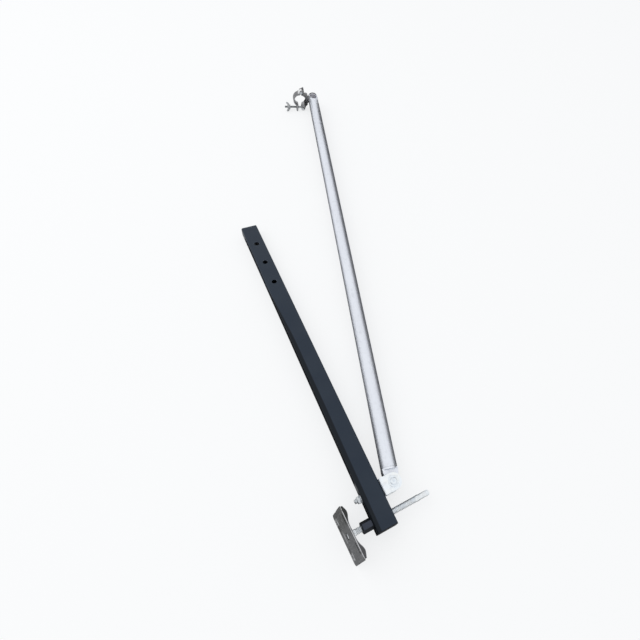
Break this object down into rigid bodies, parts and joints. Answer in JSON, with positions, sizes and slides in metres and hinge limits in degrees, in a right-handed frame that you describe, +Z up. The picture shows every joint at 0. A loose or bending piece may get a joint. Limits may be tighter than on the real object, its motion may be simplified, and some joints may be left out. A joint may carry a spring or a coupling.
{
  "type": "truss tower outrigger",
  "caption": "Stabiliser outrigger for a lighting truss tower: square arm with pin holes, screw jack foot, and a hinged tubular brace ending in a half coupler.",
  "frame": {"origin": "middle of the bounding box's bottom, on the floor the part lies on", "axes": "+Y along the arm from its foot end to its pinned end, +X from the foot pad towards the brace, +Z up from the floor"},
  "size_m": [0.7024, 1.971, 0.1122],
  "materials": {
    "black_coat": "black powder coat, semi-matt",
    "black_plastic": "moulded black plastic",
    "zinc": "bright zinc plating",
    "aluminium": "extruded aluminium, satin",
    "pressed_steel": "pressed steel with a dull grey zinc coat",
    "coupler_steel": "dark grey coupler steel"
  },
  "bodies": {
    "arm": {"outrigger_arm": "black_coat", "foot_end_cap": "black_plastic", "jack_sleeve": "black_coat", "bracket_bolt": "zinc", "bracket_washer": "zinc", "bracket_nut": "zinc"},
    "jack_carrier": {"pad_swivel_ball": "zinc"},
    "spindle": {"jack_spindle": "zinc", "spindle_end_screw": "zinc"},
    "pad": {"foot_pad": "pressed_steel"},
    "bracket": {"brace_bracket": "zinc", "pivot_bolt": "zinc", "pivot_nut": "zinc", "pivot_washer_near": "zinc", "pivot_washer_far": "zinc", "tongue_spacer_near": "black_plastic", "tongue_spacer_far": "black_plastic"},
    "brace": {"brace_end_fitting": "aluminium", "fitting_rivet": "aluminium", "brace_tube": "aluminium", "brace_end_plug": "black_plastic", "coupler_bolt": "zinc", "tube_saddle_spacer": "coupler_steel", "inner_saddle_washer": "zinc", "coupler_nut": "zinc"},
    "saddle": {"coupler_saddle": "coupler_steel", "flap_pin": "zinc", "eye_bolt_pin": "zinc"},
    "flap": {"coupler_flap": "coupler_steel"},
    "swing_bolt": {"eye_bolt": "zinc"},
    "nut_washer": {"clamp_washer": "zinc"},
    "wing": {"wing_nut": "zinc"}
  },
  "joints": [
    {"name": "jack_travel", "type": "slide", "parent": "arm", "child": "jack_carrier", "axis": [0.995, -0.0021, -0.1003], "range_m": [-0.08, 0.02]},
    {"name": "jack_turn", "type": "hinge", "parent": "jack_carrier", "child": "spindle", "pos_m": [-0.2365, -0.91703, 0.04606], "axis": [0.995, -0.0021, -0.1003], "range_deg": [-7210, 1810]},
    {"name": "pad_tilt", "type": "hinge", "parent": "jack_carrier", "child": "pad", "pos_m": [-0.32505, -0.91685, 0.05498], "axis": [-0.0521, 0.9985, -0.0155], "range_deg": [-16, 0]},
    {"name": "bracket_swivel", "type": "hinge", "parent": "arm", "child": "bracket", "pos_m": [-0.2365, -0.85254, 0.04471], "axis": [0.995, -0.0021, -0.1003], "range_deg": [-63, 57]},
    {"name": "brace_fold", "type": "hinge", "parent": "bracket", "child": "brace", "pos_m": [-0.17183, -0.85268, 0.0382], "axis": [-0.1002, 0.0328, -0.9944], "range_deg": [-12, 84]},
    {"name": "coupler_swivel", "type": "hinge", "parent": "brace", "child": "saddle", "pos_m": [0.3233, 0.92566, 0.04696], "axis": [-0.9581, 0.2663, 0.1053], "continuous": true},
    {"name": "flap_open", "type": "hinge", "parent": "saddle", "child": "flap", "pos_m": [0.2701, 0.94025, 0.09101], "axis": [0.2682, 0.9633, 0.0047], "range_deg": [-6, 10]},
    {"name": "eye_bolt_swing", "type": "hinge", "parent": "saddle", "child": "swing_bolt", "pos_m": [0.27071, 0.94048, 0.01051], "axis": [-0.2682, -0.9633, -0.0047], "range_deg": [0, 95]},
    {"name": "wing_nut_travel", "type": "slide", "parent": "swing_bolt", "child": "nut_washer", "axis": [-0.9581, 0.2663, 0.1053], "range_m": [-0.012, 0.012]},
    {"name": "wing_nut_turn", "type": "hinge", "parent": "nut_washer", "child": "wing", "pos_m": [0.20699, 0.95818, 0.01751], "axis": [-0.9581, 0.2663, 0.1053], "range_deg": [-2890, 2890]}
  ],
  "couplings": [
    {"joint": "jack_turn", "follows": "jack_travel", "rad_per_m": 1570.8},
    {"joint": "wing_nut_turn", "follows": "wing_nut_travel", "rad_per_m": 4188.8}
  ]
}
